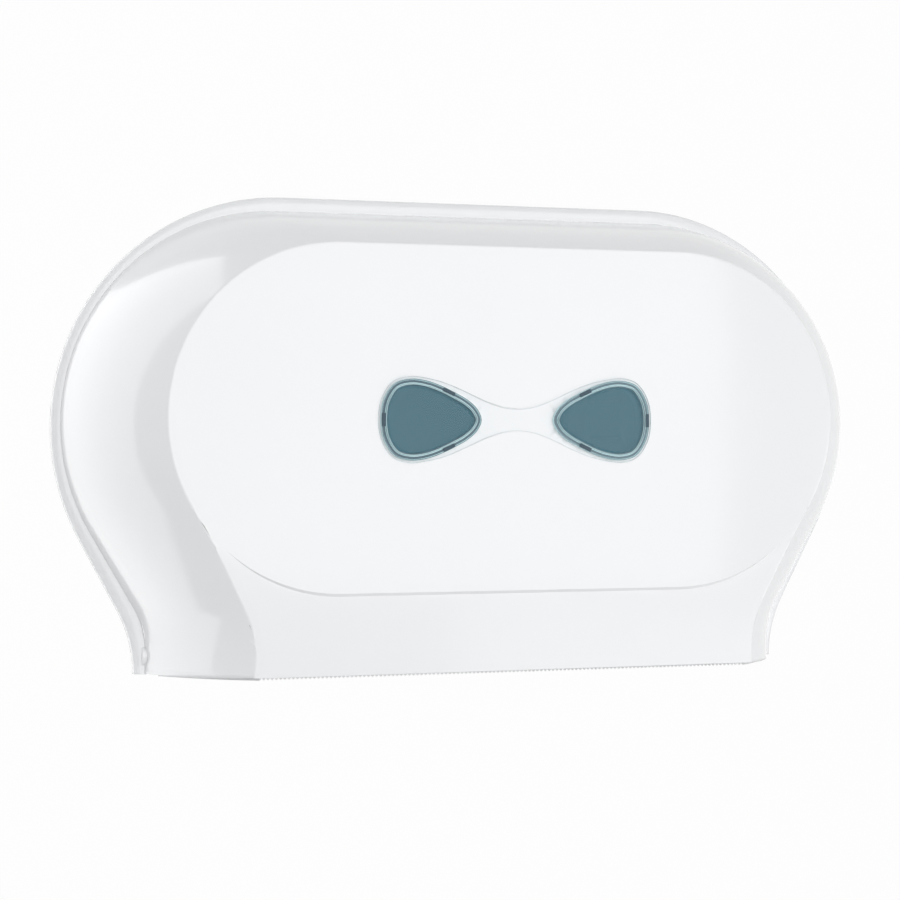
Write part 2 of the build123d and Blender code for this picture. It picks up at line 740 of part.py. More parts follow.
with BuildPart() as latch_spring:
    spring_low = GUIDE_BOTTOM + GUIDE_WALL + SPRING_WIRE
    spring_length = SLIDER_BOTTOM - SPRING_WIRE - spring_low
    spring_y = -(SLIDER_BACK + SLIDER_FRONT) / 2
    with BuildLine():
        coil = Helix(
            pitch=spring_length / SPRING_TURNS,
            height=spring_length,
            radius=SPRING_RADIUS,
            center=(0, spring_y, spring_low),
        )
    with BuildSketch(Plane(origin=coil @ 0, z_dir=coil % 0)):
        Circle(SPRING_WIRE / 2)
    sweep(is_frenet=True)

with BuildPart() as latch_strike:
    with BuildSketch(Plane.YZ.offset(-STRIKE_WIDTH / 2)):
        with BuildLine():
            Polyline(
                (-STRIKE_BLOCK_BACK + STRIKE_THICKNESS / 2, STRIKE_BLOCK_LOW + OVERLAP),
                (-STRIKE_BLOCK_BACK + STRIKE_THICKNESS / 2, STRIKE_ARM_Z),
                (-STRIKE_LIP, STRIKE_ARM_Z),
                (-STRIKE_LIP, STRIKE_LIP_LOW),
            )
            offset(amount=STRIKE_THICKNESS / 2, kind=Kind.INTERSECTION)
        make_face()
    extrude(amount=STRIKE_WIDTH)
    with BuildSketch(out(STRIKE_BLOCK_BACK)):
        with Locations((0, STRIKE_SCREW_Z)):
            with GridLocations(STRIKE_SCREW_SPACING, 0, 2, 1):
                Circle(PILOT_RADIUS)
    extrude(amount=-2 * STRIKE_THICKNESS, mode=Mode.SUBTRACT)


# Tear strip
def skirt_plan(gap, front, back):
    """Plan of the hollow near the cover's lower edge, a gap inside its walls, between two depths."""
    shares = [station / (WALL_STATIONS - 1) for station in range(WALL_STATIONS)]
    wall = [(wall_outline(share).foot_x - WALL - gap, WALL - wall_depth(share)) for share in shares]
    with BuildSketch() as plan:
        with BuildLine():
            Polyline((0, 0), (wall[0][0], 0), *wall, (0, wall[-1][1]))
            mirror(about=Plane.YZ)
        make_face()
        with Locations((0, -(front + back) / 2)):
            Rectangle(4 * RIM.radius, front - back, mode=Mode.INTERSECT)
    return plan.sketch


def saw(count, pitch, low, slope):
    """Outline of a tooth cutter: a saw edge centred on zero, with everything below it."""
    start = -count * pitch / 2
    edge = []
    for tooth in range(count):
        along = start + tooth * pitch
        edge.append((along, low + slope * along))
        edge.append((along + pitch / 2, low + slope * (along + pitch / 2) + TOOTH_HEIGHT))
    edge.append((-start, low - slope * start))
    return edge + [(-start, 2 * RIM.sill), (start, 2 * RIM.sill)]


with BuildPart() as tear_strip:
    with BuildSketch(Plane.XY.offset(STRIP_TOP)):
        add(skirt_plan(STRIP_GAP, STRIP_FRONT, STRIP_END))
        add(skirt_plan(STRIP_GAP + STRIP_THICKNESS, STRIP_BACK, 0), mode=Mode.SUBTRACT)
    extrude(amount=STRIP_LOW_BACK - STRIP_TOP)
    strip_width = 2 * RIM.centre + 2 * RIM.radius
    with BuildSketch(Plane.YZ.offset(-strip_width / 2)):
        with BuildLine():
            Polyline(
                (-STRIP_END, STRIP_LOW_BACK),
                (-STRIP_FRONT, STRIP_LOW_FRONT),
                (-FACE_DEPTH, STRIP_LOW_FRONT),
                (-FACE_DEPTH, 2 * RIM.sill),
                (-STRIP_END, 2 * RIM.sill),
                close=True,
            )
        make_face()
    extrude(amount=strip_width, mode=Mode.SUBTRACT)

    # Teeth across the front, then along the forward part of both side arms
    corner_share = (STRIP_FRONT + WALL - BRIM_FRONT) / (FACE_DEPTH - BRIM_FRONT)
    corner_x = wall_outline(corner_share).foot_x - WALL - STRIP_GAP
    front_teeth = int(2 * corner_x / TOOTH_PITCH)
    with BuildSketch(out(STRIP_BACK - PLAY)):
        with BuildLine():
            Polyline(*saw(front_teeth, TOOTH_PITCH, STRIP_LOW_FRONT, 0), close=True)
        make_face()
    extrude(amount=2 * STRIP_THICKNESS, mode=Mode.SUBTRACT)
    rise = (STRIP_LOW_FRONT - STRIP_LOW_BACK) / (STRIP_END - STRIP_FRONT)
    middle = STRIP_BACK - PLAY - SIDE_TEETH * SIDE_PITCH / 2
    with BuildSketch(Plane.YZ.offset(-strip_width / 2)):
        with Locations((-middle, 0)):
            with BuildLine():
                side_low = STRIP_LOW_FRONT + rise * (STRIP_FRONT - middle)
                Polyline(*saw(SIDE_TEETH, SIDE_PITCH, side_low, rise), close=True)
            make_face()
    extrude(amount=strip_width, mode=Mode.SUBTRACT)

    # Holes that pass over the bosses of the cover
    with BuildSketch(out(STRIP_BACK)):
        with Locations([(x, STRIP_SCREW_Z) for x in STRIP_SCREW_X]):
            Circle(BOSS_RADIUS + FIT_GAP)
    extrude(amount=STRIP_THICKNESS, mode=Mode.SUBTRACT)

# Pieces made in pairs
spindle_post_left = spindle_post(-HUB_X, HUB_Z)
spindle_post_right = spindle_post(HUB_X, HUB_Z)
hub_left = hub(-HUB_X, HUB_Z)
hub_right = hub(HUB_X, HUB_Z)
hub_cap_left = hub_cap(-HUB_X, HUB_Z)
hub_cap_right = hub_cap(HUB_X, HUB_Z)
brake_ring_left = ring(-HUB_X, HUB_Z, BRAKE_SEAT, BRAKE_THICKNESS, BRAKE_OUTER, BRAKE_INNER)
brake_ring_right = ring(HUB_X, HUB_Z, BRAKE_SEAT, BRAKE_THICKNESS, BRAKE_OUTER, BRAKE_INNER)
hinge_pin_left = hinge_pin(-1)
hinge_pin_right = hinge_pin(1)

# Equal small pieces, each kind kept together
with BuildPart() as spindle_washers:
    add(ring(-HUB_X, HUB_Z, POST_END, WASHER_THICKNESS, WASHER_RADIUS, SCREW_RADIUS + FIT_GAP))
    mirror(about=Plane.YZ)

with BuildPart() as spindle_screws:
    with Locations([facing_out(x, POST_END + WASHER_THICKNESS, z) for x, z in SPINDLES]):
        add(screw(PILOT_DEPTH))

with BuildPart() as post_screws:
    with Locations([facing_out(x, FOOT_FRONT, z) for x, z in POST_SCREW_PLACES]):
        add(screw(FOOT_FRONT - 2 * PILOT_FLOOR))

with BuildPart() as latch_screws:
    half_spacing = LATCH_SCREW_SPACING / 2
    with Locations([facing_out(x, TRAY_FLOOR + GUIDE_WALL, LATCH_SCREW_Z) for x in (-half_spacing, half_spacing)]):
        add(screw(GUIDE_WALL + PILOT_FLOOR))

with BuildPart() as strike_screws:
    half_spacing = STRIKE_SCREW_SPACING / 2
    back = STRIKE_BLOCK_BACK - STRIKE_THICKNESS
    with Locations([facing_wall(x, back, STRIKE_SCREW_Z) for x in (-half_spacing, half_spacing)]):
        add(screw(STRIKE_BLOCK_DEPTH - PILOT_FLOOR))

with BuildPart() as strip_screws:
    with Locations([facing_wall(x, BOSS_END, STRIP_SCREW_Z) for x in STRIP_SCREW_X]):
        add(screw(STRIP_SCREW_LENGTH))

with BuildPart() as cover_buffers:
    with BuildSketch(out(LUG_FRONT)):
        for side in (-1, 1):
            with Locations((side * TRAY.centre, TRAY.height)):
                with PolarLocations(PAD_REACH, 1, start_angle=90 - side * LUG_TURN):
                    Circle(PAD_RADIUS)
    extrude(amount=BRIM_FRONT - WALL - LUG_FRONT - PLAY)

cover_shell.part.label = "cover_shell"
window_lens.part.label = "window_lens"
tear_strip.part.label = "tear_strip"
base_pan.part.label = "base_pan"
spindle_post_left.label = "spindle_post_left"
spindle_post_right.label = "spindle_post_right"
post_screws.part.label = "post_screws"
hub_left.label = "hub_left"
hub_right.label = "hub_right"
hub_cap_left.label = "hub_cap_left"
hub_cap_right.label = "hub_cap_right"
brake_ring_left.label = "brake_ring_left"
brake_ring_right.label = "brake_ring_right"
spindle_washers.part.label = "spindle_washers"
spindle_screws.part.label = "spindle_screws"
hinge_pin_left.label = "hinge_pin_left"
hinge_pin_right.label = "hinge_pin_right"
latch_slider.part.label = "latch_slider"
latch_spring.part.label = "latch_spring"
latch_housing.part.label = "latch_housing"
latch_screws.part.label = "latch_screws"
latch_strike.part.label = "latch_strike"
strike_screws.part.label = "strike_screws"
strip_screws.part.label = "strip_screws"
cover_buffers.part.label = "cover_buffers"

export_step(cover_shell.part, "parts/cover_shell.step")
export_step(window_lens.part, "parts/window_lens.step")
export_step(tear_strip.part, "parts/tear_strip.step")
export_step(base_pan.part, "parts/base_pan.step")
export_step(spindle_post_left, "parts/spindle_post_left.step")
export_step(spindle_post_right, "parts/spindle_post_right.step")
export_step(post_screws.part, "parts/post_screws.step")
export_step(hub_left, "parts/hub_left.step")
export_step(hub_right, "parts/hub_right.step")
export_step(hub_cap_left, "parts/hub_cap_left.step")
export_step(hub_cap_right, "parts/hub_cap_right.step")
export_step(brake_ring_left, "parts/brake_ring_left.step")
export_step(brake_ring_right, "parts/brake_ring_right.step")
export_step(spindle_washers.part, "parts/spindle_washers.step")
export_step(spindle_screws.part, "parts/spindle_screws.step")
export_step(hinge_pin_left, "parts/hinge_pin_left.step")
export_step(hinge_pin_right, "parts/hinge_pin_right.step")
export_step(latch_slider.part, "parts/latch_slider.step")
export_step(latch_spring.part, "parts/latch_spring.step")
export_step(latch_housing.part, "parts/latch_housing.step")
export_step(latch_screws.part, "parts/latch_screws.step")
export_step(latch_strike.part, "parts/latch_strike.step")
export_step(strike_screws.part, "parts/strike_screws.step")
export_step(strip_screws.part, "parts/strip_screws.step")
export_step(cover_buffers.part, "parts/cover_buffers.step")
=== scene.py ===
"""Looks of the two-roll dispenser: its moulded cover as one smooth skin, its window and its finishes."""
import bmesh
import bpy
import json
from math import cos, radians, sin, sqrt
from mathutils import Matrix, Vector


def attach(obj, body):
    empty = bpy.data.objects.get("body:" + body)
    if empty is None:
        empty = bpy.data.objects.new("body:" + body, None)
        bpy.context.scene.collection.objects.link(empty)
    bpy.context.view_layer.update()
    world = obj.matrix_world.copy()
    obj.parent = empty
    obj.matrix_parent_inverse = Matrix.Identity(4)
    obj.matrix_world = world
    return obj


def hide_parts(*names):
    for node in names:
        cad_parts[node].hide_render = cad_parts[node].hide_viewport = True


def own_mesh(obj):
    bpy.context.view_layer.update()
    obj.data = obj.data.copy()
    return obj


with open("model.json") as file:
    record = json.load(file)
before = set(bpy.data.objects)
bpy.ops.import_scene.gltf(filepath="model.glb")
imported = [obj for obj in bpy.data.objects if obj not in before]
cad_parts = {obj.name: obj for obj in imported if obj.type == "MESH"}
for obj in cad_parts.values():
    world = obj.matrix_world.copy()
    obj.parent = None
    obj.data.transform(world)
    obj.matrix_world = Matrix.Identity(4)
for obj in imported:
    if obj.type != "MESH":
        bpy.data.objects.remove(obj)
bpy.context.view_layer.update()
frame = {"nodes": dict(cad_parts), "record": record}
MM = 0.001

# Lengths are in millimetres down to the materials. Depths run from the wall, and heights from the middle
# of the wall screws.
BRIM_BACK = 14.0
BRIM_FRONT = 20.0
FACE_DEPTH = 106.0
FACE_SWELL = 3.0
BRIM_ROUNDING = 3.6
BRIM_CROWN = 6.5
BRIM_TURNS = (0, 20, 40, 60, 75, 90)
WALL = 3.0
EDGE_ROUNDING = 0.8
BLOCK_ROUNDING = 0.3
LENS_SEAT_DEPTH = 108.2
SEAT_DEPTH = 108.05
SEAT_EDGE = 108.0
SKIRT_TOP = -67.0
SKIRT_SETBACK = 5.5
CREASE_DEPTH = 7.0
CREASE_SPREAD = 5.5
SILL_FRONT = -138.0
SKIRT_POINT = Vector((0, -FACE_DEPTH, SKIRT_TOP))
skirt_way = Vector((0, SKIRT_SETBACK, SILL_FRONT - SKIRT_TOP)).normalized()
SKIRT_OUT = Vector((0, skirt_way.z, -skirt_way.y))

# Outlines of the brim, of the side wall's root and of its front edge:
# centre, radius, height, sweep, flank, foot radius, sill
RIM = (114.0, 136.0, 0.0, 28.0, 48.0, 76.0, -142.4)
ROOT = (119.3, 125.5, 2.0, 30.0, 50.0, 48.5, -142.0)
FRONT = (101.6, 97.5, 4.9, 30.0, 66.0, 64.0, SILL_FRONT)
CENTRE, RADIUS, HEIGHT, SWEEP = FRONT[:4]
FACE_RINGS = (95.5, 91.0, 84.0, 74.0, 62.0, 50.0)

# How finely the forms are drawn
TOP_STEPS = 6
SHOULDER_STEPS = 44
FLANK_STEPS = 10
FOOT_STEPS = 8
SILL_STEPS = 3
LOWER_STEPS = 24
BOTTOM_STEPS = 6
WALL_STATIONS = 22
EGG_STEPS = 72
WINDOW_STEPS = 400
CURVE_STEPS = 40
TUBE_STEPS = 32

# Reach of the tests that pick vertices and edges
ON_PLANE = 0.02
OFF_MIDDLE = 0.01
LEVEL_REACH = 0.06
FRONT_ONLY = -95.0
CORNER_BESIDE, CORNER_BELOW = 120.0, -30.0
STEP_BELOW = -60.0
CRISP_ANGLE = 24
TINY_EDGE = 1.2

# Window: outlines from the lens's or the plate's middle line
LENS_HEIGHT = 4.0
LENS_INNER = 20.3
LENS_OUTER = 81.8
LENS_CROWN = ((54.0, 23.2), (63.5, 24.1), (73.0, 21.4), (79.3, 13.2))
LENS_NOSE = ((23.2, 7.0), (29.0, 12.2), (36.4, 16.3), (44.5, 20.1))
PLATE_NECK = ((0.0, 6.2), (10.0, 7.4), (20.0, 10.8), (32.8, 16.6), (44.0, 20.9))
APERTURE_INSET = 5.0
PANE_INSET = 1.3
FIT_GAP = 0.25
PLATE_FRONT = 110.2
PLATE_ROUNDING = 0.7
COLLAR_BACK = 101.7
COLLAR_OUTER = 5.25
COLLAR_INNER = 6.65
CLIP_SIZE = (7.5, 1.2, 2.3)
CLIP_DEPTH = 110.15
CLIPS = ((41.0, 15.6, -24.0), (41.0, -15.6, 24.0), (LENS_OUTER - 2.7, 0.0, 90.0))

# Sections through the window's parts, as pairs of inset and depth
RIM_PROFILE = (
    (1.3, 108.1), (1.3, 110.1), (1.45, 110.35), (1.8, 110.35), (1.95, 110.1), (2.05, 109.8), (3.4, 109.8),
    (3.5, 110.1), (3.65, 110.5), (4.0, 110.7), (4.3, 110.5), (4.45, 110.1), (4.55, 109.5), (5.1, 109.4),
    (5.1, 108.1), (1.3, 108.1),
)
PANE_PROFILE = (
    (7.0, 108.2), (5.12, 108.2), (5.12, 109.3), (5.25, 109.65), (5.5, 109.8), (5.8, 109.6), (6.4, 109.4),
    (8.0, 109.4),
)
COLLAR_PROFILE = (
    (COLLAR_OUTER, SEAT_EDGE), (COLLAR_OUTER, COLLAR_BACK), (COLLAR_INNER, COLLAR_BACK),
    (COLLAR_INNER, SEAT_EDGE), (COLLAR_OUTER, SEAT_EDGE),
)

# Inner works of the cover
HINGE_Y, HINGE_Z = 17.0, -132.0
KNUCKLE_INNER, KNUCKLE_OUTER, KNUCKLE_RADIUS = 184.0, 198.0, 6.0
PIN_HOLE = 2.6
WEB_BACK, WEB_TOP = 19.0, -106.0
WEB_INNER, WEB_OUTER, WEB_OVERLAP = 1.7, 3.5, 1.0
BOSS_X = (-120.0, -40.0, 40.0, 120.0)
BOSS_Z, BOSS_BACK, BOSS_FRONT, BOSS_RADIUS, PILOT_RADIUS = -131.0, 95.1, 98.5, 3.0, 1.6
STRIKE_BLOCK = (24.0, 8.0, 14.0)
STRIKE_DEPTH, STRIKE_Z = 32.0, 117.0

# Rings are bridged while this far apart, because bridging coplanar rings can span the hole
BRIDGE_LIFT = 2.0


def between(one, other, share):
    return tuple(a + share * (b - a) for a, b in zip(one, other))


def bulge(share):
    """The side wall starts steep at the brim and turns in towards the front edge."""
    return 0.62 * share + 0.38 * share**3


def swell_depth(x, z):
    """Depth of the cushioned front face over a point of it."""
    off = sqrt(max(0.0, abs(x) - CENTRE) ** 2 + (z - HEIGHT) ** 2)
    ball = (RADIUS**2 + FACE_SWELL**2) / (2 * FACE_SWELL)
    return FACE_DEPTH + FACE_SWELL - ball + sqrt(ball**2 - min(off, RADIUS) ** 2)


# Chains of points, drawn with the modeller's own spin and extrude
def draw_line(bm, chain, to, steps):
    start = chain[-1].co.copy()
    for step in range(steps):
        place = start.lerp(Vector(to), (step + 1) / steps)
        new = bmesh.ops.extrude_vert_indiv(bm, verts=[chain[-1]])["verts"][0]
        new.co = place
        chain.append(new)


def draw_arc(bm, chain, pivot, turn, steps):
    """Turns clockwise as one looks at the wall; a negative turn goes the other way."""
    for step in range(steps):
        new = bmesh.ops.extrude_vert_indiv(bm, verts=[chain[-1]])["verts"][0]
        bmesh.ops.rotate(bm, verts=[new], cent=pivot, matrix=Matrix.Rotation(radians(turn) / steps, 3, "Y"))
        chain.append(new)


def draw_housing(bm, shape, depth):
    """Right half of an outline, from the middle of its top to its sill."""
    centre, radius, height, sweep, flank, foot, sill = shape
    y = -depth
    chain = [bm.verts.new((0, y, height + radius))]
    draw_line(bm, chain, (centre, y, height + radius), TOP_STEPS)
    draw_arc(bm, chain, (centre, y, height), 90 + sweep, SHOULDER_STEPS)
    lean = radians(sweep)
    way = Vector((-sin(lean), 0, -cos(lean)))
    draw_line(bm, chain, chain[-1].co + flank * way, FLANK_STEPS)
    draw_arc(bm, chain, chain[-1].co + foot * Vector((cos(lean), 0, -sin(lean))), -sweep, FOOT_STEPS)
    draw_line(bm, chain, (chain[-1].co.x, y, sill), SILL_STEPS)
    return chain


def draw_stadium(bm, radius, depth):
    """Right half of the raised face's outline, from the middle of its top to that of its bottom."""
    y = -depth
    chain = [bm.verts.new((0, y, HEIGHT + radius))]
    draw_line(bm, chain, (CENTRE, y, HEIGHT + radius), TOP_STEPS)
    draw_arc(bm, chain, (CENTRE, y, HEIGHT), 90 + SWEEP, SHOULDER_STEPS)
    draw_arc(bm, chain, (CENTRE, y, HEIGHT), 90 - SWEEP, LOWER_STEPS)
    draw_line(bm, chain, (0, y, HEIGHT - radius), BOTTOM_STEPS)
    return chain


def distinct(items):
    """The items once each, in the order in which they come, so that every run gives the same mesh."""
    return list(dict.fromkeys(items))


def edges_at(verts):
    return distinct(e for v in verts for e in v.link_edges)


def edges_along(chain):
    return [a.link_edges[[e.other_vert(a) for e in a.link_edges].index(b)] for a, b in zip(chain, chain[1:])]


def bridge(bm, one, other):
    bmesh.ops.bridge_loops(bm, edges=edges_along(one) + edges_along(other))


def smooth_curve(points, tangent_in, tangent_out, count):
    """Evenly spaced points along a smooth plane curve through the given ones."""
    dots = [Vector(p) for p in points]
    slopes = [Vector(tangent_in)]
    for before, here, after in zip(dots, dots[1:], dots[2:]):
        near, far = (here - before).length, (after - here).length
        slopes.append(((here - before) / near * far + (after - here) / far * near) / (near + far))
    slopes.append(Vector(tangent_out))
    fine = []
    for k in range(len(dots) - 1):
        span = (dots[k + 1] - dots[k]).length
        for step in range(CURVE_STEPS):
            t = step / CURVE_STEPS
            fine.append(
                (1 + 2 * t) * (1 - t) ** 2 * dots[k]
                + t * (1 - t) ** 2 * span * slopes[k]
                + t * t * (3 - 2 * t) * dots[k + 1]
                + t * t * (t - 1) * span * slopes[k + 1]
            )
    fine.append(dots[-1])
    reach = [0.0]
    for a, b in zip(fine, fine[1:]):
        reach.append(reach[-1] + (b - a).length)
    even, k = [], 0
    for step in range(count + 1):
        goal = reach[-1] * step / count
        while k < len(reach) - 2 and reach[k + 1] < goal:
            k += 1
        even.append(fine[k].lerp(fine[k + 1], (goal - reach[k]) / max(1e-9, reach[k + 1] - reach[k])))
    return even


def moved_aside(points, gap):
    """The same curve moved to its left by a gap, as one walks along it."""
    out = []
    for k, here in enumerate(points):
        way = (points[min(k + 1, len(points) - 1)] - points[max(k - 1, 0)]).normalized()
        out.append(here + gap * Vector((-way.y, way.x)))
    return out


def plate_half(count):
    """Upper right quarter of the plate's outline, from the middle of the bridge to the outer end."""
    return smooth_curve([*PLATE_NECK, *LENS_CROWN, (LENS_OUTER, 0)], (1, 0), (0, -1), count)


def window_beside(chain, growth):
    """The plate's outline, grown outwards, with one point for each point of a chain round it."""
    upper = moved_aside(plate_half(WINDOW_STEPS), growth)
    upper[0].x = 0
    upper[-1].y = 0
    widest = max(v.co.x for v in chain)
    points = []
    for v in chain:
        goal = upper[-1].x * v.co.x / widest
        k = next((n for n in range(1, len(upper)) if upper[n].x >= goal), len(upper) - 1)
        here = upper[k - 1].lerp(upper[k], (goal - upper[k - 1].x) / (upper[k].x - upper[k - 1].x))
        points.append(Vector((goal, here.y if v.co.z > HEIGHT else -here.y)))
    return points


def lens_egg(inset, count):
    """The right lens's outline, closed, drawn inwards by an inset."""
    points = [(LENS_INNER, 0), *LENS_NOSE, *LENS_CROWN, (LENS_OUTER, 0)]
    upper = moved_aside(smooth_curve(points, (0, 1), (0, -1), count // 2), -inset)
    upper[0].y = upper[-1].y = 0
    return upper[:-1] + [Vector((p.x, -p.y)) for p in reversed(upper[1:])]


def chain_at(bm, points, depth_of, closed=False):
    """A chain through points of the front, set at their depths."""
    chain = [bm.verts.new((p.x, -depth_of(p), p.y + LENS_HEIGHT)) for p in points]
    for a, b in zip(chain, chain[1:] + (chain[:1] if closed else [])):
        bm.edges.new((a, b))
    return chain


def tube(bm, outer, inner, length, matrix):
    """A short tube along +Z from the origin, then put in its place."""
    rims = [bmesh.ops.create_circle(bm, segments=TUBE_STEPS, radius=r)["verts"] for r in (outer, inner)]
    edges = edges_at(rims[0] + rims[1])
    bmesh.ops.translate(bm, vec=(0, 0, BRIDGE_LIFT), verts=rims[1])
    band = bmesh.ops.bridge_loops(bm, edges=edges)["faces"]
    bmesh.ops.translate(bm, vec=(0, 0, -BRIDGE_LIFT), verts=rims[1])
    grown = bmesh.ops.extrude_face_region(bm, geom=band, use_keep_orig=True)["geom"]
    top = [v for v in grown if isinstance(v, bmesh.types.BMVert)]
    bmesh.ops.translate(bm, vec=(0, 0, length), verts=top)
    bmesh.ops.transform(bm, matrix=matrix, verts=top + rims[0] + rims[1])


def block(bm, size, matrix):
    """A block with softly broken edges."""
    made = bmesh.ops.create_cube(bm, size=1.0)["verts"]
    bmesh.ops.scale(bm, vec=size, verts=made)
    bmesh.ops.transform(bm, matrix=matrix, verts=made)
    bmesh.ops.bevel(
        bm, geom=edges_at(made), offset=BLOCK_ROUNDING, segments=2, profile=0.5, affect="EDGES", material=-1
    )


def grow(bm, faces, vector):
    """Extrudes faces and gives back the moved ones."""
    geom = bmesh.ops.extrude_face_region(bm, geom=faces, use_keep_orig=True)["geom"]
    bmesh.ops.translate(bm, vec=vector, verts=[g for g in geom if isinstance(g, bmesh.types.BMVert)])
    return [g for g in geom if isinstance(g, bmesh.types.BMFace)]


def as_object(bm, name):
    mesh = bpy.data.meshes.new(name)
    bm.to_mesh(mesh)
    bm.free()
    piece = bpy.data.objects.new(name, mesh)
    bpy.context.scene.collection.objects.link(piece)
    return piece


def finish_mesh(bm, name, smooth_angle=32):
    """Turns a sketch in millimetres into an object of the scene."""
    bmesh.ops.scale(bm, vec=(MM, MM, MM), verts=bm.verts)
    piece = as_object(bm, name)
    for face in piece.data.polygons:
        face.use_smooth = True
    piece.data.set_sharp_from_angle(angle=radians(smooth_angle))
    return piece


def keep_flats(piece):
    """Lets large flat faces rule the shading of the rounded edges beside them."""
    weighted = piece.modifiers.new("flats", "WEIGHTED_NORMAL")
    weighted.keep_sharp = True


# Tests on the cover's vertices
def on_face_plane(v):
    return abs(v.co.y + FACE_DEPTH) < ON_PLANE


def on_skirt(v):
    return abs((v.co - SKIRT_POINT).dot(SKIRT_OUT)) < ON_PLANE and v.co.z < SKIRT_TOP + ON_PLANE


def off_stadium(v):
    return sqrt(max(0.0, abs(v.co.x) - CENTRE) ** 2 + (v.co.z - HEIGHT) ** 2) - RADIUS


def on_stadium_edge(v):
    return abs(off_stadium(v)) < ON_PLANE


def on_crease(v):
    return v.co.z < SKIRT_TOP + 1 and -ON_PLANE < off_stadium(v) < CREASE_SPREAD


def beside_corner(v):
    """Whether a vertex of the front edge borders the slim corner between the face and the skirt."""
    return on_face_plane(v) and SKIRT_TOP - OFF_MIDDLE < v.co.z < CORNER_BELOW and v.co.x > CORNER_BESIDE


def border(bm):
    """Edges with one face, apart from those on the middle line."""
    return [e for e in bm.edges if len(e.link_faces) == 1 and e.verts[0].co.x + e.verts[1].co.x > OFF_MIDDLE]


# Cover: brim, bulged side wall, cushioned face, bevelled step and leaning skirt, with a seat for the window
def side_wall(bm):
    chains = [draw_housing(bm, RIM, BRIM_BACK)]
    centre, radius, height, sweep, flank, foot, sill = RIM
    for turn in BRIM_TURNS:
        drawn_in = BRIM_CROWN * (1 - cos(radians(turn)))
        rounded = (centre, radius - drawn_in, height, sweep, flank, foot + drawn_in, sill)
        depth = BRIM_FRONT - BRIM_ROUNDING + BRIM_ROUNDING * sin(radians(turn))
        chains.append(draw_housing(bm, rounded, depth))
    for station in range(WALL_STATIONS + 1):
        share = station / WALL_STATIONS
        depth = BRIM_FRONT + share * (FACE_DEPTH - BRIM_FRONT)
        chains.append(draw_housing(bm, between(ROOT, FRONT, bulge(share)), depth))
    for one, other in zip(chains, chains[1:]):
        bridge(bm, one, other)
    whole = bm.verts[:] + bm.edges[:] + bm.faces[:]
    bmesh.ops.bisect_plane(
        bm, geom=whole, dist=1e-5, plane_co=SKIRT_POINT, plane_no=SKIRT_OUT, clear_outer=True
    )


def front_face(bm):
    """The face, from its outline in to the window's seat and its two openings; gives back the outline."""
    edge_chain = outer = draw_stadium(bm, RADIUS, FACE_DEPTH)
    for radius in FACE_RINGS:
        inner = draw_stadium(bm, radius, FACE_DEPTH)
        for v in inner:
            v.co.y = -swell_depth(v.co.x, v.co.z)
        bridge(bm, outer, inner)
        outer = inner
    window = window_beside(outer, FIT_GAP)
    rings = [[v.co.xz for v in outer], [Vector((p.x, p.y + LENS_HEIGHT)) for p in window]]
    for step in (1, 2, 3):
        share = step / 3
        points = [a.lerp(b, share) - Vector((0, LENS_HEIGHT)) for a, b in zip(*rings)]
        inner = chain_at(bm, points, lambda p: swell_depth(p.x, p.y + LENS_HEIGHT))
        bridge(bm, outer, inner)
        outer = inner
    seat = chain_at(bm, window, lambda p: SEAT_DEPTH)
    bridge(bm, outer, seat)
    opening = chain_at(bm, lens_egg(APERTURE_INSET, EGG_STEPS), lambda p: SEAT_DEPTH, closed=True)
    fill_between(bm, seat, opening)
    return edge_chain


def fill_between(bm, outer, hole):
    """Fills a half outline, shut along the middle line, round a closed hole."""
    middle = bm.edges.new((outer[0], outer[-1]))
    edges = edges_along(outer) + [middle] + edges_at(hole)
    bmesh.ops.triangle_fill(bm, use_beauty=True, use_dissolve=False, edges=edges)


def face_step(bm, edge_chain):
    """The bevelled step from the face down to the skirt, cut where it sinks into the skirt."""
    first = TOP_STEPS + SHOULDER_STEPS
    foot_chain = draw_stadium(bm, RADIUS + CREASE_SPREAD, FACE_DEPTH - CREASE_DEPTH)
    top_points = [v.co.xz - Vector((0, LENS_HEIGHT)) for v in edge_chain[first:]]
    step_top = chain_at(bm, top_points, lambda p: FACE_DEPTH)
    bmesh.ops.delete(bm, geom=foot_chain[:first], context="VERTS")
    earlier = set(bm.faces)
    bridge(bm, step_top, foot_chain[first:])
    faces = [f for f in bm.faces if f not in earlier]
    geom = faces + distinct(e for f in faces for e in f.edges) + distinct(v for f in faces for v in f.verts)
    bmesh.ops.bisect_plane(
        bm, geom=geom, dist=1e-5, plane_co=SKIRT_POINT, plane_no=SKIRT_OUT, clear_inner=True
    )
    bmesh.ops.remove_doubles(bm, verts=bm.verts[:], dist=0.01)


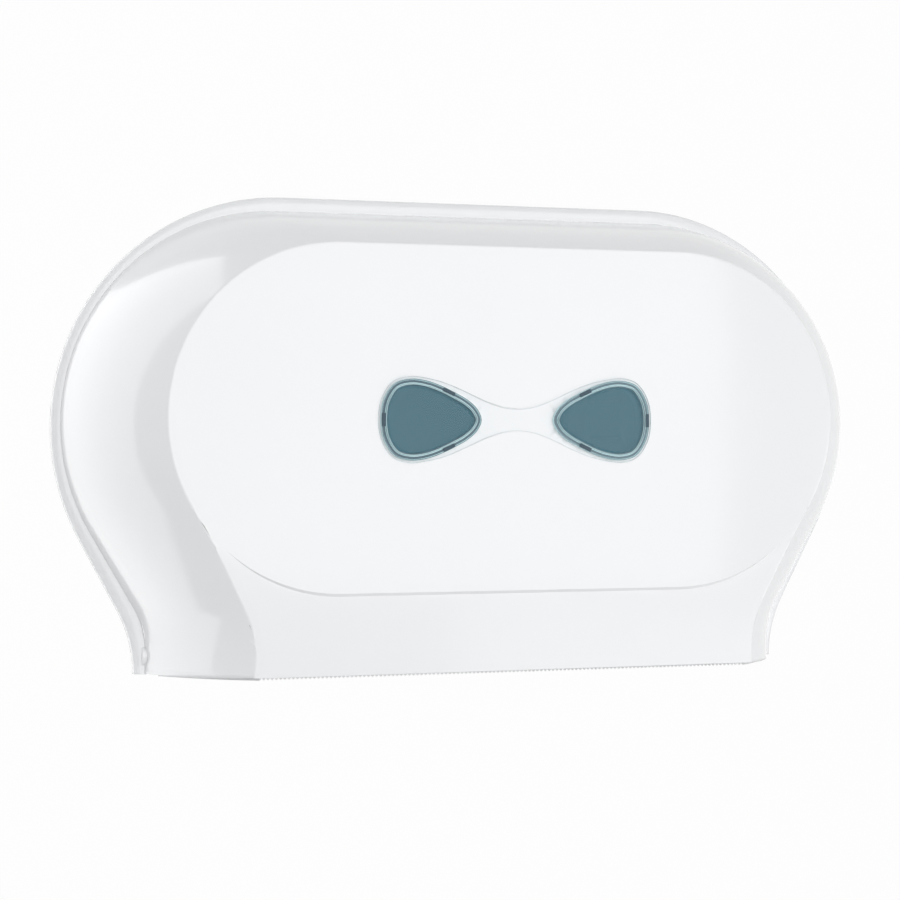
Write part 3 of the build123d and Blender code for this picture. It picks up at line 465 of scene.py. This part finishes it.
def skirt(bm):
    """The leaning skirt and the two slim corners beside the face."""
    fronts = [e for e in border(bm) if all(on_face_plane(v) or on_skirt(v) for v in e.verts)]
    verts = distinct(v for e in fronts for v in e.verts)
    bmesh.ops.bisect_plane(bm, geom=fronts + verts, dist=1e-4, plane_co=(0, 0, SKIRT_TOP), plane_no=(0, 0, 1))
    bmesh.ops.remove_doubles(bm, verts=bm.verts[:], dist=0.05)
    loose = border(bm)
    level = distinct(v for e in loose for v in e.verts if v.co.y < FRONT_ONLY)
    level = [v for v in level if abs(v.co.z - SKIRT_TOP) < LEVEL_REACH]
    level.sort(key=lambda v: v.co.x)
    for v in level:
        v.co.yz = -FACE_DEPTH, SKIRT_TOP
    fold = bm.edges.new((level[0], level[-1]))
    corner = [e for e in loose if all(beside_corner(v) for v in e.verts)]
    bmesh.ops.contextual_create(bm, geom=corner + [fold])
    below = [e for e in loose if all(on_skirt(v) for v in e.verts)]
    lowest = min((v for e in below for v in e.verts), key=lambda v: v.co.z)
    inmost = min((v for e in below for v in e.verts), key=lambda v: v.co.x)
    foot = bm.verts.new((0, lowest.co.y, lowest.co.z))
    below += [fold, bm.edges.new((lowest, foot)), bm.edges.new((foot, inmost))]
    bmesh.ops.contextual_create(bm, geom=below)


def on_middle_of_skirt(e):
    return len(e.link_faces) == 2 and all(abs(v.co.x) < 0.001 and on_skirt(v) for v in e.verts)


def round_front_edge(bm):
    """Rounds the edge between the side wall and the front, but leaves the step's own edges alone."""
    crisp = [e for e in bm.edges if len(e.link_faces) == 2 and e.calc_face_angle() > radians(CRISP_ANGLE)]
    rim = [e for e in crisp if all(on_skirt(v) or on_face_plane(v) for v in e.verts)]
    rim = [e for e in rim if not all(on_stadium_edge(v) and v.co.z < STEP_BELOW for v in e.verts)]
    rim = [e for e in rim if any(not on_crease(v) for v in e.verts)]
    bmesh.ops.collapse(bm, edges=[e for e in rim if e.calc_length() < TINY_EDGE])
    bmesh.ops.bevel(
        bm, geom=[e for e in rim if e.is_valid], offset=EDGE_ROUNDING, offset_type="OFFSET", segments=3,
        profile=0.5, affect="EDGES", clamp_overlap=False, material=-1,
    )


def cover_skin():
    bm = bmesh.new()
    side_wall(bm)
    face_step(bm, front_face(bm))
    skirt(bm)
    bmesh.ops.delete(bm, geom=[v for v in bm.verts if not v.link_faces], context="VERTS")
    everything = bm.verts[:] + bm.edges[:] + bm.faces[:]
    bmesh.ops.mirror(bm, geom=everything, matrix=Matrix.Identity(4), merge_dist=0.01, axis="X")
    bmesh.ops.remove_doubles(bm, verts=bm.verts[:], dist=0.01)
    middle = [e for e in bm.edges if on_middle_of_skirt(e)]
    bmesh.ops.dissolve_edges(bm, edges=middle, use_verts=False)
    bmesh.ops.recalc_face_normals(bm, faces=bm.faces[:])
    round_front_edge(bm)
    return bm


cover = finish_mesh(cover_skin(), "cover_skin")
thick = cover.modifiers.new("wall", "SOLIDIFY")
thick.thickness = WALL * MM
thick.offset = -1
keep_flats(cover)
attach(cover, "cover")
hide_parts("cover_shell")


# Hinge knuckles with their webs, screw bosses and strike block inside the cover
def cover_fittings():
    bm = bmesh.new()
    aside = Matrix.Translation((KNUCKLE_INNER, -HINGE_Y, HINGE_Z)) @ Matrix.Rotation(radians(90), 4, "Y")
    tube(bm, KNUCKLE_RADIUS, PIN_HOLE, KNUCKLE_OUTER - KNUCKLE_INNER, aside)
    foot_x = draw_housing(bm, ROOT, BRIM_FRONT)[-1].co.x
    bmesh.ops.delete(bm, geom=[v for v in bm.verts if not v.link_faces], context="VERTS")
    low = HINGE_Z + WEB_OVERLAP
    corners = [(KNUCKLE_INNER + WEB_OVERLAP, low), (foot_x - WEB_INNER, low), (foot_x + WEB_OUTER, WEB_TOP)]
    web = bmesh.ops.contextual_create(bm, geom=[bm.verts.new((x, -WEB_BACK, z)) for x, z in corners])["faces"]
    grow(bm, web, (0, -WALL, 0))
    bmesh.ops.mirror(bm, geom=bm.verts[:] + bm.edges[:] + bm.faces[:], matrix=Matrix.Identity(4), axis="X")
    for x in BOSS_X:
        forward = Matrix.Translation((x, -BOSS_BACK, BOSS_Z)) @ Matrix.Rotation(radians(90), 4, "X")
        tube(bm, BOSS_RADIUS, PILOT_RADIUS, BOSS_FRONT - BOSS_BACK, forward)
    block(bm, STRIKE_BLOCK, Matrix.Translation((0, -STRIKE_DEPTH, STRIKE_Z)))
    bmesh.ops.recalc_face_normals(bm, faces=bm.faces[:])
    return bm


fittings = finish_mesh(cover_fittings(), "cover_fittings", 40)
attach(fittings, "cover")


# Window: a clear plate with its bridge, and to each lens a double rim, a tinted pane, a collar and clips
def both_sides(bm):
    everything = bm.verts[:] + bm.edges[:] + bm.faces[:]
    bmesh.ops.mirror(bm, geom=everything, matrix=Matrix.Identity(4), merge_dist=0.001, axis="X")
    bmesh.ops.recalc_face_normals(bm, faces=bm.faces[:])


def window_plate():
    bm = bmesh.new()
    half = window_half()
    outer = chain_at(bm, moved_aside(half, -PLATE_ROUNDING), lambda p: PLATE_FRONT)
    for v in (outer[0], outer[-1]):
        v.co.x = 0
    hole = chain_at(bm, lens_egg(PANE_INSET, EGG_STEPS), lambda p: PLATE_FRONT, closed=True)
    fill_between(bm, outer, hole)
    for turn in (30, 60, 90):
        drawn_in = PLATE_ROUNDING * (1 - sin(radians(turn)))
        depth = PLATE_FRONT - PLATE_ROUNDING + PLATE_ROUNDING * cos(radians(turn))
        ring = chain_at(bm, moved_aside(half, -drawn_in), lambda p: depth)
        for v in (ring[0], ring[-1]):
            v.co.x = 0
        bridge(bm, outer, ring)
        outer = ring
    bridge(bm, outer, chain_at(bm, half, lambda p: LENS_SEAT_DEPTH))
    both_sides(bm)
    return bm


def window_half():
    """Right half of the plate's outline, from the top of the bridge round to its bottom."""
    upper = plate_half(EGG_STEPS)
    return upper[:-1] + [Vector((p.x, -p.y)) for p in reversed(upper)]


def rings_through(bm, profile, closed_at=()):
    """A form that follows the lens: egg rings at pairs of inset and depth, bridged in turn."""
    before = None
    for k, (inset, depth) in enumerate(profile):
        ring = chain_at(bm, lens_egg(inset, EGG_STEPS), lambda p: depth + BRIDGE_LIFT, closed=True)
        edges = edges_at(ring)
        if before:
            bmesh.ops.bridge_loops(bm, edges=edges + before)
        bmesh.ops.translate(bm, vec=(0, BRIDGE_LIFT, 0), verts=ring)
        if k in closed_at:
            bmesh.ops.contextual_create(bm, geom=edges)
        before = edges


def window_rims():
    bm = bmesh.new()
    rings_through(bm, RIM_PROFILE)
    both_sides(bm)
    return bm


def window_panes():
    bm = bmesh.new()
    rings_through(bm, PANE_PROFILE, closed_at=(0, len(PANE_PROFILE) - 1))
    both_sides(bm)
    return bm


def window_collars():
    bm = bmesh.new()
    rings_through(bm, COLLAR_PROFILE)
    for x, y, turn in CLIPS:
        place = Matrix.Translation((x, -CLIP_DEPTH, LENS_HEIGHT + y)) @ Matrix.Rotation(radians(turn), 4, "Y")
        block(bm, CLIP_SIZE, place)
    both_sides(bm)
    return bm


plate = finish_mesh(window_plate(), "window_plate")
rims = finish_mesh(window_rims(), "window_rims", 50)
panes = finish_mesh(window_panes(), "window_panes", 50)
collars = finish_mesh(window_collars(), "window_collars", 40)
for piece in (plate, rims, panes, collars):
    keep_flats(piece)
    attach(piece, "cover")
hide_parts("window_lens")


def catch_spring():
    """The catch's spring again, as a smooth-shaded piece of its own."""
    bm = bmesh.new()
    bm.from_mesh(frame["nodes"]["latch_spring"].data)
    bmesh.ops.remove_doubles(bm, verts=bm.verts, dist=1e-6)
    for face in bm.faces:
        face.smooth = True
    return as_object(bm, "catch_spring")


spring = catch_spring()
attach(spring, "base")
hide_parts("latch_spring")
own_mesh(spring)


# Materials
class Val:
    """A socket that takes part in sums."""

    def __init__(self, tree, socket):
        self.tree = tree
        self.socket = socket

    def maths(self, operation, *others):
        node = self.tree.nodes.new("ShaderNodeMath")
        node.operation = operation
        for k, value in enumerate([self, *others]):
            if isinstance(value, Val):
                self.tree.links.new(value.socket, node.inputs[k])
            else:
                node.inputs[k].default_value = value
        return Val(self.tree, node.outputs[0])

    def __add__(self, other):
        return self.maths("ADD", other)

    __radd__ = __add__

    def __mul__(self, other):
        return self.maths("MULTIPLY", other)

    __rmul__ = __mul__

    def clamped(self):
        return self.maths("MINIMUM", 1.0).maths("MAXIMUM", 0.0)


class Finish:
    """A material under construction."""

    def __init__(self, name, **constants):
        self.material = bpy.data.materials.new(name)
        self.material.use_nodes = True
        self.tree = self.material.node_tree
        self.shader = next(n for n in self.tree.nodes if n.type == "BSDF_PRINCIPLED")
        for socket, value in constants.items():
            self.shader.inputs[socket.replace("_", " ")].default_value = value
        self.place = self.node("ShaderNodeTexCoord", out="Object")

    def node(self, kind, settings=None, out=0, **inputs):
        node = self.tree.nodes.new(kind)
        for key, value in (settings or {}).items():
            setattr(node, key, value)
        for key, value in inputs.items():
            numbered = key[0] == "i" and key[1:].isdigit()
            socket = node.inputs[int(key[1:]) if numbered else key.replace("_", " ")]
            if isinstance(value, Val):
                self.tree.links.new(value.socket, socket)
            else:
                socket.default_value = value
        return Val(self.tree, node.outputs[out])

    def noise(self, scale, detail=3.0, rough=0.5):
        return self.node("ShaderNodeTexNoise", Vector=self.place, Scale=scale, Detail=detail, Roughness=rough)

    def mix(self, share, low, high):
        settings = {"data_type": "RGBA", "blend_type": "MIX"}
        return self.node("ShaderNodeMix", settings, out=2, i0=share, i6=low, i7=high)

    def feed(self, socket, value):
        self.tree.links.new(value.socket, self.shader.inputs[socket])

    def bump(self, height, strength, distance):
        self.feed("Normal", self.node("ShaderNodeBump", Height=height, Strength=strength, Distance=distance))


def grey(level):
    return (level, level, level, 1.0)


def moulded(name, low, high, roughness, spread, grain, strength, depth=0.0002, **constants):
    """Moulded plastic: a slight unevenness of tone, gloss and surface."""
    finish = Finish(name, **constants)
    flow = finish.noise(9.0, 2.0)
    speck = finish.noise(grain, 4.0, 0.6)
    finish.feed("Base Color", finish.mix((flow * 0.7 + speck * 0.3).clamped(), low, high))
    finish.feed("Roughness", (speck * spread + (roughness - spread / 2)).clamped())
    finish.bump(flow * 0.5 + speck * 0.5, strength, depth)
    return finish.material


white_gloss = moulded(
    "white_gloss", (0.872, 0.877, 0.886, 1), (0.9, 0.905, 0.914, 1), 0.14, 0.05, 420.0, 0.05,
    Specular_IOR_Level=0.5, Coat_Weight=0.25, Coat_Roughness=0.06,
)
strip_satin = moulded("strip_satin", (0.74, 0.745, 0.75, 1), (0.8, 0.805, 0.81, 1), 0.34, 0.1, 700.0, 0.1)
dark_texture = moulded(
    "dark_texture", (0.072, 0.082, 0.092, 1), (0.088, 0.098, 0.108, 1), 0.5, 0.05, 700.0, 0.03
)
hub_satin = moulded("hub_satin", (0.12, 0.14, 0.155, 1), (0.15, 0.17, 0.185, 1), 0.36, 0.12, 900.0, 0.2)
latch_satin = moulded("latch_satin", (0.5, 0.52, 0.54, 1), (0.58, 0.6, 0.62, 1), 0.3, 0.1, 800.0, 0.12)
zinc = moulded("zinc", (0.56, 0.57, 0.59, 1), (0.7, 0.71, 0.72, 1), 0.3, 0.2, 1200.0, 0.12, Metallic=1.0)
felt = moulded("felt", (0.07, 0.07, 0.075, 1), (0.16, 0.16, 0.165, 1), 0.95, 0.08, 2600.0, 0.9, 0.0004)
pad_rubber = moulded("pad_rubber", (0.02, 0.02, 0.021, 1), (0.035, 0.035, 0.036, 1), 0.75, 0.15, 1800.0, 0.3)


def clear_plastic(name, deep, painted_edge, alpha, edge_alpha, gain=1.0):
    """Ice-blue clear plastic: a body tint, and edges that turn away from the view painted in another colour
    and made more opaque, a painted stand-in for reflection and refraction there.
    """
    finish = Finish(name, Specular_IOR_Level=0.35)
    flow = finish.noise(14.0, 2.0)
    turned = finish.node("ShaderNodeLayerWeight", out=1, Blend=0.35)
    low, high = (tuple(c * share for c in deep) + (1,) for share in (0.92, 1.08))
    body = finish.mix(flow.clamped(), low, high)
    # Painted light: the colour goes over to the painted edge colour as the surface turns away from the view.
    finish.feed("Base Color", finish.mix((turned * gain).clamped(), body, painted_edge + (1,)))
    finish.feed("Roughness", (flow * 0.03 + 0.04).clamped())
    finish.feed("Alpha", (turned * edge_alpha + alpha).clamped())
    finish.bump(flow, 0.02, 0.0002)
    return finish.material


# Plate: clear in its body, with painted shade in blue-grey on the edges that turn away, standing in for the
# dark line of refraction at its rim.
plate_clear = clear_plastic("plate_clear", (0.9, 0.97, 1.0), (0.3, 0.47, 0.55), -0.02, 0.6)
# Rims: painted shade in the near-black navy body, standing in for the dark of reflections inside the plastic,
# and a painted highlight in the pale edge colour on the beads.
rim_blue_painted_light = clear_plastic("rim_blue_painted_light", (0.004, 0.04, 0.075), (0.72, 0.96, 1.0), 0.9, 0.5, 3.6)
# Panes: a real blue tint, with a lighter painted sheen on the edges that turn away.
pane_blue = clear_plastic("pane_blue", (0.1, 0.26, 0.33), (0.2, 0.36, 0.42), 0.5, 0.3)
# Collars and clips: painted shade in the near-black body, standing in for the dark they show through the
# pane, with a lighter painted edge.
collar_blue_painted_shade = clear_plastic("collar_blue_painted_shade", (0.02, 0.06, 0.09), (0.2, 0.3, 0.36), 0.9, 0.1)

COATS = {
    "white_plastic": white_gloss,
    "window_clear": pane_blue,
    "strip_plastic": strip_satin,
    "dark_plastic": dark_texture,
    "hub_plastic": hub_satin,
    "latch_plastic": latch_satin,
    "zinc_steel": zinc,
    "felt": felt,
    "soft_rubber": pad_rubber,
}
for part in frame["record"]["subparts"]:
    mesh = frame["nodes"][part["node"]].data
    mesh.materials.clear()
    mesh.materials.append(COATS[part["material_slot"]])
for piece, coat in (
    (cover, white_gloss), (fittings, white_gloss), (plate, plate_clear), (rims, rim_blue_painted_light),
    (panes, pane_blue), (collars, collar_blue_painted_shade), (spring, zinc),
):
    piece.data.materials.append(coat)


# Floor, backdrop and light
WHITE_SHARE = 0.97
FLOOR_Z, BACKDROP_Y, CARD_SIZE = -1.7, 2.4, 12.0
WORLD_LEVEL = 0.38


def pale_card(name):
    """White card that the camera and mirror rays see at full white, with the object's shadow kept."""
    finish = Finish(name, Roughness=0.9)
    flow = finish.noise(3.0, 2.0)
    finish.feed("Base Color", finish.mix(flow.clamped(), grey(0.72), grey(0.76)))
    path = finish.node("ShaderNodeLightPath", out=0)
    glossy = Val(finish.tree, path.socket.node.outputs["Is Glossy Ray"])
    through = Val(finish.tree, path.socket.node.outputs["Is Transmission Ray"])
    seen = (path + glossy + through).clamped()
    glow = finish.node("ShaderNodeEmission", Color=grey(1.0), Strength=1.0)
    plain = Val(finish.tree, finish.shader.outputs[0])
    blend = finish.node("ShaderNodeMixShader", i0=seen * WHITE_SHARE, i1=plain, i2=glow)
    finish.tree.links.new(blend.socket, finish.tree.nodes["Material Output"].inputs["Surface"])
    return finish.material


def card(name, size, place, turn):
    bm = bmesh.new()
    bmesh.ops.create_grid(bm, x_segments=1, y_segments=1, size=size / 2)
    matrix = Matrix.Translation(place) @ Matrix.Rotation(radians(turn), 4, "X")
    bmesh.ops.transform(bm, matrix=matrix, verts=bm.verts)
    piece = as_object(bm, name)
    piece.data.materials.append(pale_card(name))
    return piece


floor = card("floor", CARD_SIZE, (0, 0, FLOOR_Z), 0)
backdrop = card("backdrop", CARD_SIZE, (0, BACKDROP_Y, 1.0), 90)

world = bpy.data.worlds.new("studio")
world.use_nodes = True
bpy.context.scene.world = world
tree = world.node_tree
sky = tree.nodes["Background"]
path = tree.nodes.new("ShaderNodeLightPath")
lit = tree.nodes.new("ShaderNodeBackground")
lit.inputs["Color"].default_value = grey(1.0)
lit.inputs["Strength"].default_value = 1.0
sky.inputs["Color"].default_value = (0.97, 0.985, 1.0, 1)
sky.inputs["Strength"].default_value = WORLD_LEVEL
seen, glossy, through = (
    Val(tree, path.outputs[kind]) for kind in ("Is Camera Ray", "Is Glossy Ray", "Is Transmission Ray")
)
both = tree.nodes.new("ShaderNodeMixShader")
tree.links.new((seen + glossy + through).clamped().socket, both.inputs[0])
tree.links.new(sky.outputs[0], both.inputs[1])
tree.links.new(lit.outputs[0], both.inputs[2])
tree.links.new(both.outputs[0], tree.nodes["World Output"].inputs["Surface"])


def softbox(name, place, aim, width, height, power):
    data = bpy.data.lights.new(name, "AREA")
    data.shape = "RECTANGLE"
    data.size = width
    data.size_y = height
    data.energy = power
    lamp = bpy.data.objects.new(name, data)
    bpy.context.scene.collection.objects.link(lamp)
    way = Vector(aim) - Vector(place)
    lamp.matrix_world = Matrix.Translation(place) @ way.to_track_quat("-Z", "Y").to_matrix().to_4x4()


softbox("front_card", (0.0, -3.0, 1.0), (0.0, -0.06, 0.9), 3.3, 3.4, 57)
softbox("key_right", (2.2, -1.4, -0.7), (0, -0.06, 0), 1.8, 1.5, 9)
softbox("fill_low", (1.5, -2.1, -1.25), (0.1, -0.06, -0.1), 1.8, 1.2, 7)
softbox("side_left", (-1.75, 1.1, 0.9), (-0.1, -0.05, 0.9), 2.0, 5.0, 44)

# Camera, solved from the photograph's outlines: angle in degrees, focal length and image width in pixels
YAW = 18.005
IMAGE_WIDTH = 900
SENSOR_WIDTH = 36
FOCAL = 2193.26
DISTANCE = 1328.30
ASIDE, ABOVE = 9.93, 12.95
RIM_PLANE = -18.0
right = Vector((cos(radians(YAW)), -sin(radians(YAW)), 0))
ahead = Vector((sin(radians(YAW)), cos(radians(YAW)), 0))
eye = -ASIDE * right - DISTANCE * ahead + Vector((0, RIM_PLANE, -ABOVE))
lens = bpy.data.cameras.new("camera")
lens.sensor_width = SENSOR_WIDTH
lens.lens = FOCAL * SENSOR_WIDTH / IMAGE_WIDTH
lens.clip_start = 0.05
camera = bpy.data.objects.new("camera", lens)
bpy.context.scene.collection.objects.link(camera)
camera.matrix_world = Matrix.Translation(eye * MM) @ ahead.to_track_quat("-Z", "Y").to_matrix().to_4x4()
bpy.context.scene.camera = camera
bpy.context.scene.view_settings.view_transform = "Standard"
